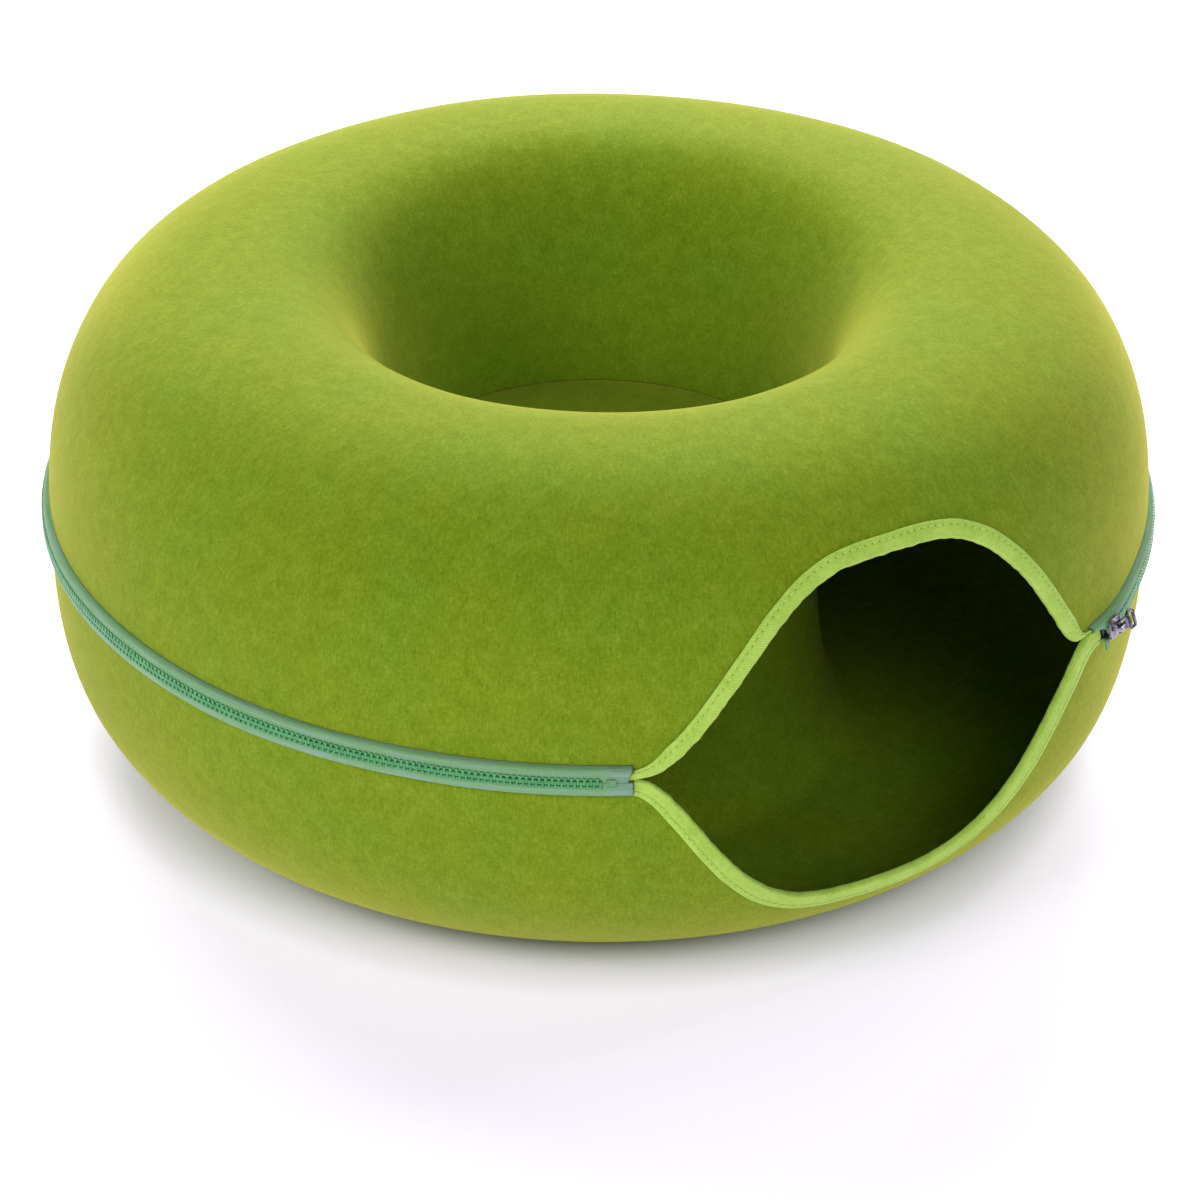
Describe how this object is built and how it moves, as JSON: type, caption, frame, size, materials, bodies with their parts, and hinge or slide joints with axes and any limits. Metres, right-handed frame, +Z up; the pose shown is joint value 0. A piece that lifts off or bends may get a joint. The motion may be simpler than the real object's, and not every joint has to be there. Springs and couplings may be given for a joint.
{
  "type": "cat tunnel bed",
  "caption": "Hollow round felt cat bed: a ring-shaped tunnel with an arched side door, a sunken round nest on top and a zip round its middle.",
  "frame": {"origin": "on the floor under the middle of the bed's box; the ring's own axis stands 8 mm in front of it, towards the door", "axes": "+Z up; -Y out of the door, towards whoever looks in; +X to the right of someone who looks in"},
  "size_m": [0.6085, 0.5929, 0.28],
  "materials": {
    "felt": "matte needle-punched felt, yellow-green with darker fibre streaks",
    "binding": "matte ribbed lime tape",
    "zip_tape": "satin woven sea-green tape",
    "zip_teeth": "satin moulded green plastic",
    "slider_metal": "polished gunmetal with darker edges"
  },
  "bodies": {
    "root": {"upper_shell": "felt", "lower_shell": "felt", "door_binding_upper": "binding", "door_binding_lower": "binding", "zip_tape_upper": "zip_tape", "zip_tape_lower": "zip_tape", "zip_teeth_upper": "zip_teeth", "zip_teeth_lower": "zip_teeth", "zip_stop": "zip_teeth", "zip_slider": "slider_metal", "zip_pull": "slider_metal"}
  },
  "joints": []
}
